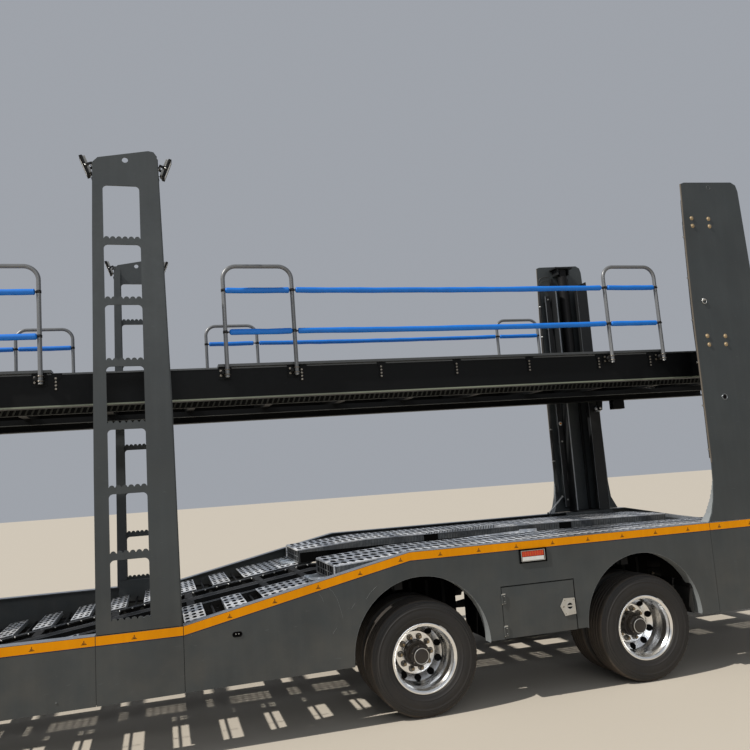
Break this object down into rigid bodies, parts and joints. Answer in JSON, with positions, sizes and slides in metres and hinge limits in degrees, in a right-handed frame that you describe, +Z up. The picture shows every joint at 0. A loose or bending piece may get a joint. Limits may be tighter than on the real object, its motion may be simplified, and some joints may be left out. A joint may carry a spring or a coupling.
{
  "type": "car transporter semi-trailer",
  "caption": "Two-deck car transporter semi-trailer with dark grey side skirts, ladder columns, a tilting upper deck, guard hoops and twin-tyred wheels, parked on its legs.",
  "frame": {"origin": "centre of the bounding box at the floor", "axes": "+X forward towards the kingpin, +Y to the left side of the trailer, +Z up"},
  "size_m": [13.75, 2.572, 3.951],
  "materials": {
    "grey_paint": "satin",
    "deck_black": "satin",
    "chassis_black": "matte",
    "galvanised": "matte",
    "bright_steel": "polished",
    "polished_rim": "polished",
    "tyre_rubber": "matte",
    "blue_sleeve": "matte",
    "lamp_lens": "gloss"
  },
  "bodies": {
    "trailer": {"air_tanks": "chassis_black", "axle_beams": "chassis_black", "cross_members": "chassis_black", "front_columns": "grey_paint", "front_deck_frame": "deck_black", "front_deck_tracks": "deck_black", "front_guard_rail": "grey_paint", "gooseneck_plates": "chassis_black", "kingpin": "bright_steel", "ladder_columns": "grey_paint", "lamps": "lamp_lens", "landing_legs": "chassis_black", "leaf_springs": "chassis_black", "lift_cylinder_barrels": "chassis_black", "lower_deck_tracks": "galvanised", "main_rails": "chassis_black", "raised_tracks": "galvanised", "rear_lift_columns": "grey_paint", "side_skirts_left": "grey_paint", "side_skirts_right": "grey_paint", "tail_beam": "grey_paint", "toolboxes": "chassis_black"},
    "upper_deck": {"upper_deck_frame": "deck_black", "upper_deck_tracks": "deck_black", "deck_edge_caps": "grey_paint", "guard_hoops": "grey_paint", "guard_ropes": "blue_sleeve"},
    "rod_left": {"lift_rod_left": "bright_steel"},
    "rod_right": {"lift_rod_right": "bright_steel"},
    "left_ramp": {"ramp_left": "galvanised"},
    "right_ramp": {"ramp_right": "galvanised"},
    "left_door": {"toolbox_door_left": "grey_paint"},
    "right_door": {"toolbox_door_right": "grey_paint"},
    "front_left_wheels": {"front_left_tyres": "tyre_rubber", "front_left_rims": "polished_rim", "front_left_hub": "chassis_black"},
    "front_right_wheels": {"front_right_tyres": "tyre_rubber", "front_right_rims": "polished_rim", "front_right_hub": "chassis_black"},
    "rear_left_wheels": {"rear_left_tyres": "tyre_rubber", "rear_left_rims": "polished_rim", "rear_left_hub": "chassis_black"},
    "rear_right_wheels": {"rear_right_tyres": "tyre_rubber", "rear_right_rims": "polished_rim", "rear_right_hub": "chassis_black"}
  },
  "joints": [
    {"name": "upper_deck_hinge", "type": "hinge", "parent": "trailer", "child": "upper_deck", "pos_m": [3.775, 0, 2.326], "axis": [0, 1, 0], "range_deg": [-6.3, 0.4]},
    {"name": "lift_rod_left_slide", "type": "slide", "parent": "trailer", "child": "rod_left", "axis": [0, 0, 1], "range_m": [-1.003, 0.065]},
    {"name": "lift_rod_right_slide", "type": "slide", "parent": "trailer", "child": "rod_right", "axis": [0, 0, 1], "range_m": [-1.003, 0.065]},
    {"name": "ramp_left_slide", "type": "slide", "parent": "trailer", "child": "left_ramp", "axis": [-1, 0, 0], "range_m": [0, 1.5]},
    {"name": "ramp_right_slide", "type": "slide", "parent": "trailer", "child": "right_ramp", "axis": [-1, 0, 0], "range_m": [0, 1.5]},
    {"name": "toolbox_door_left_hinge", "type": "hinge", "parent": "trailer", "child": "left_door", "pos_m": [-3.114, 1.281, 0.62], "axis": [0, 0, -1], "range_deg": [0, 110]},
    {"name": "toolbox_door_right_hinge", "type": "hinge", "parent": "trailer", "child": "right_door", "pos_m": [-3.114, -1.281, 0.62], "axis": [0, 0, 1], "range_deg": [0, 110]},
    {"name": "front_left_wheel_spin", "type": "hinge", "parent": "trailer", "child": "front_left_wheels", "pos_m": [-2.525, 1, 0.3925], "axis": [0, 1, 0], "continuous": true},
    {"name": "front_right_wheel_spin", "type": "hinge", "parent": "trailer", "child": "front_right_wheels", "pos_m": [-2.525, -1, 0.3925], "axis": [0, 1, 0], "continuous": true},
    {"name": "rear_left_wheel_spin", "type": "hinge", "parent": "trailer", "child": "rear_left_wheels", "pos_m": [-4.29, 1, 0.3925], "axis": [0, 1, 0], "continuous": true},
    {"name": "rear_right_wheel_spin", "type": "hinge", "parent": "trailer", "child": "rear_right_wheels", "pos_m": [-4.29, -1, 0.3925], "axis": [0, 1, 0], "continuous": true}
  ],
  "couplings": [
    {"joint": "lift_rod_left_slide", "follows": "upper_deck_hinge", "m_per_rad": 9.1},
    {"joint": "lift_rod_right_slide", "follows": "upper_deck_hinge", "m_per_rad": 9.1}
  ]
}
